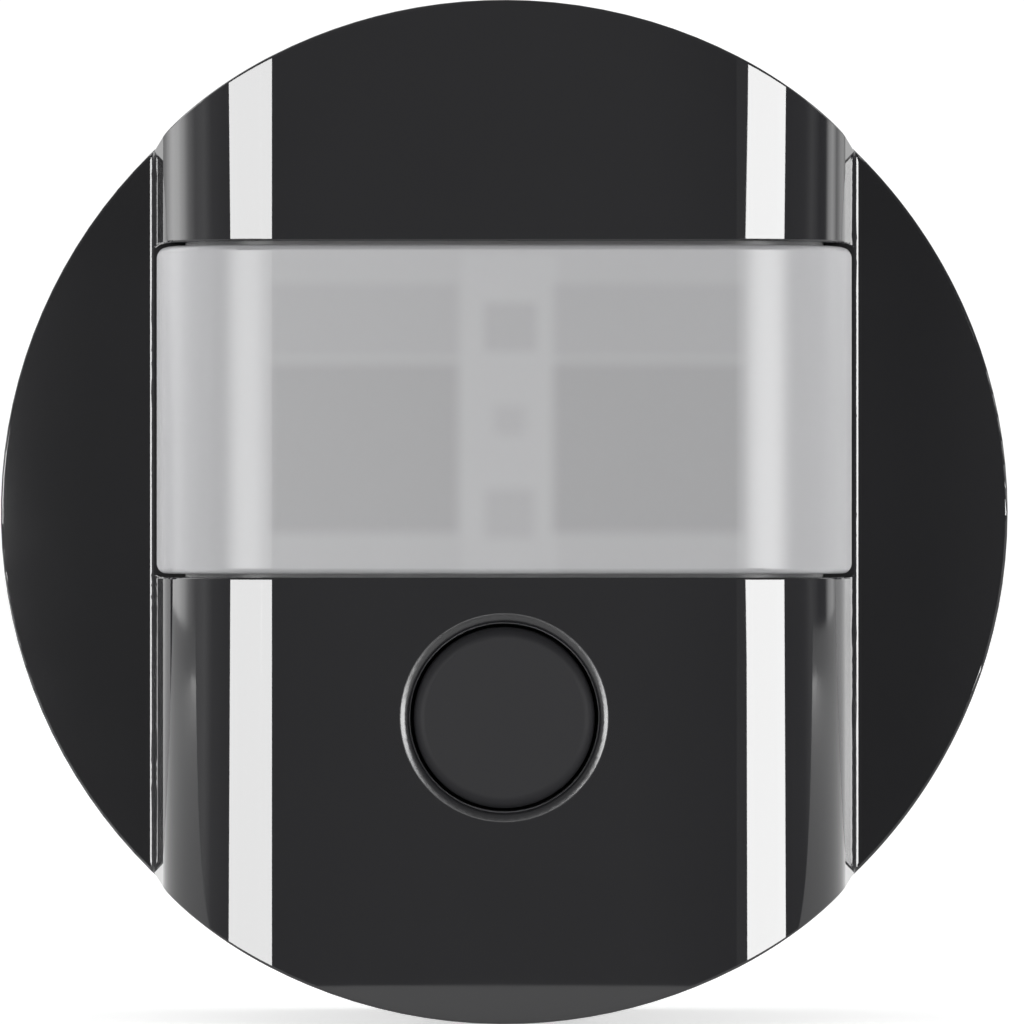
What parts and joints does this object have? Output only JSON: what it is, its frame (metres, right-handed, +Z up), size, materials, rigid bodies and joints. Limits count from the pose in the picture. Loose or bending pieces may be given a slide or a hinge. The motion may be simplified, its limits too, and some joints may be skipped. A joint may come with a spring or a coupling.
{
  "type": "motion sensor light switch",
  "caption": "Round glossy black wall head with a raised band that holds a milky motion sensor lens and a push button, on a mains pot with push-in terminals.",
  "frame": {"origin": "on the axis of the round face plate, in the plane of the flange face that seats on the wall ring", "axes": "+Z up the face, +X right seen from the front, -Y out of the wall towards the viewer, +Y into the wall box"},
  "size_m": [0.0595, 0.0494, 0.0594],
  "materials": {
    "cover_black": "high gloss, moulded",
    "button_black": "fine satin, moulded",
    "lens_milky": "milky, smooth outside",
    "mask_white": "white, moulded",
    "carrier_black": "matt, moulded",
    "spring_steel": "drawn wire and strip",
    "screw_steel": "zinc plated",
    "can_metal": "nickel plated can",
    "filter_dark": "coated filter window",
    "board_green": "solder mask over laminate",
    "chip_black": "moulded epoxy",
    "part_pale": "ceramic and moulded parts",
    "guide_clear": "clear, polished",
    "dial_white": "moulded",
    "dial_body_blue": "moulded",
    "chassis_grey": "moulded",
    "housing_grey": "moulded, fine spark texture",
    "relay_black": "sealed case",
    "film_yellow": "moulded box",
    "sleeve_dark": "shrunk sleeve",
    "varistor_blue": "dipped",
    "ferrite_grey": "ferrite",
    "terminal_pale": "moulded",
    "key_orange": "moulded",
    "contact_brass": "stamped"
  },
  "bodies": {
    "base": {"front_cover": "cover_black", "fresnel_lens": "lens_milky", "lens_mask": "mask_white", "button_spring": "spring_steel", "switch_body": "chip_black", "optics_carrier": "carrier_black", "pyro_sensor_left": "can_metal", "pyro_sensor_right": "can_metal", "pyro_filter_left": "filter_dark", "pyro_filter_right": "filter_dark", "light_guide": "guide_clear", "status_led": "part_pale", "daylight_sensor": "part_pale", "infrared_receiver": "chip_black", "control_board": "board_green", "microcontroller": "chip_black", "board_chips": "part_pale", "time_dial_body": "dial_body_blue", "lux_dial_body": "dial_body_blue", "range_dial_body": "dial_body_blue", "board_socket": "chip_black", "board_header": "chip_black", "carrier_screws": "screw_steel", "mounting_chassis": "chassis_grey", "retaining_clips": "spring_steel", "rear_housing": "housing_grey", "housing_screws": "screw_steel", "power_board": "board_green", "relay": "relay_black", "film_capacitor": "film_yellow", "smoothing_capacitors": "sleeve_dark", "varistor": "varistor_blue", "suppression_choke": "ferrite_grey", "fuse_resistor": "part_pale", "bridge_rectifier": "chip_black", "converter_chip": "chip_black", "terminal_block": "terminal_pale", "terminal_contacts": "contact_brass", "clamp_spring_left": "spring_steel", "clamp_spring_right": "spring_steel"},
    "button": {"push_button": "button_black"},
    "plunger": {"switch_plunger": "part_pale"},
    "time_dial": {"time_dial": "dial_white"},
    "lux_dial": {"lux_dial": "dial_white"},
    "range_dial": {"range_dial": "dial_white"},
    "left_key": {"release_key_left": "key_orange"},
    "right_key": {"release_key_right": "key_orange"}
  },
  "joints": [
    {"name": "button_press", "type": "slide", "parent": "base", "child": "button", "axis": [0, 1, 0], "range_m": [0, 0.0005], "stiffness_N_per_m": 500, "springref_m": -0.0015, "deforming": ["button_spring"]},
    {"name": "switch_plunger_press", "type": "slide", "parent": "base", "child": "plunger", "axis": [0, 1, 0], "range_m": [0, 0.0005]},
    {"name": "time_dial_turn", "type": "hinge", "parent": "base", "child": "time_dial", "pos_m": [-0.0229, -0.0055, 0.0042], "axis": [0, -1, 0], "range_deg": [-135, 135]},
    {"name": "lux_dial_turn", "type": "hinge", "parent": "base", "child": "lux_dial", "pos_m": [-0.0229, -0.0055, -0.0042], "axis": [0, -1, 0], "range_deg": [-135, 135]},
    {"name": "range_dial_turn", "type": "hinge", "parent": "base", "child": "range_dial", "pos_m": [0.0229, -0.0055, 0], "axis": [0, -1, 0], "range_deg": [-135, 135]},
    {"name": "left_key_press", "type": "slide", "parent": "base", "child": "left_key", "axis": [0, -1, 0], "range_m": [0, 0.0015], "stiffness_N_per_m": 2500, "springref_m": -0.0008, "deforming": ["clamp_spring_left"]},
    {"name": "right_key_press", "type": "slide", "parent": "base", "child": "right_key", "axis": [0, -1, 0], "range_m": [0, 0.0015], "stiffness_N_per_m": 2500, "springref_m": -0.0008, "deforming": ["clamp_spring_right"]}
  ],
  "couplings": [
    {"joint": "switch_plunger_press", "follows": "button_press", "ratio": 1}
  ]
}
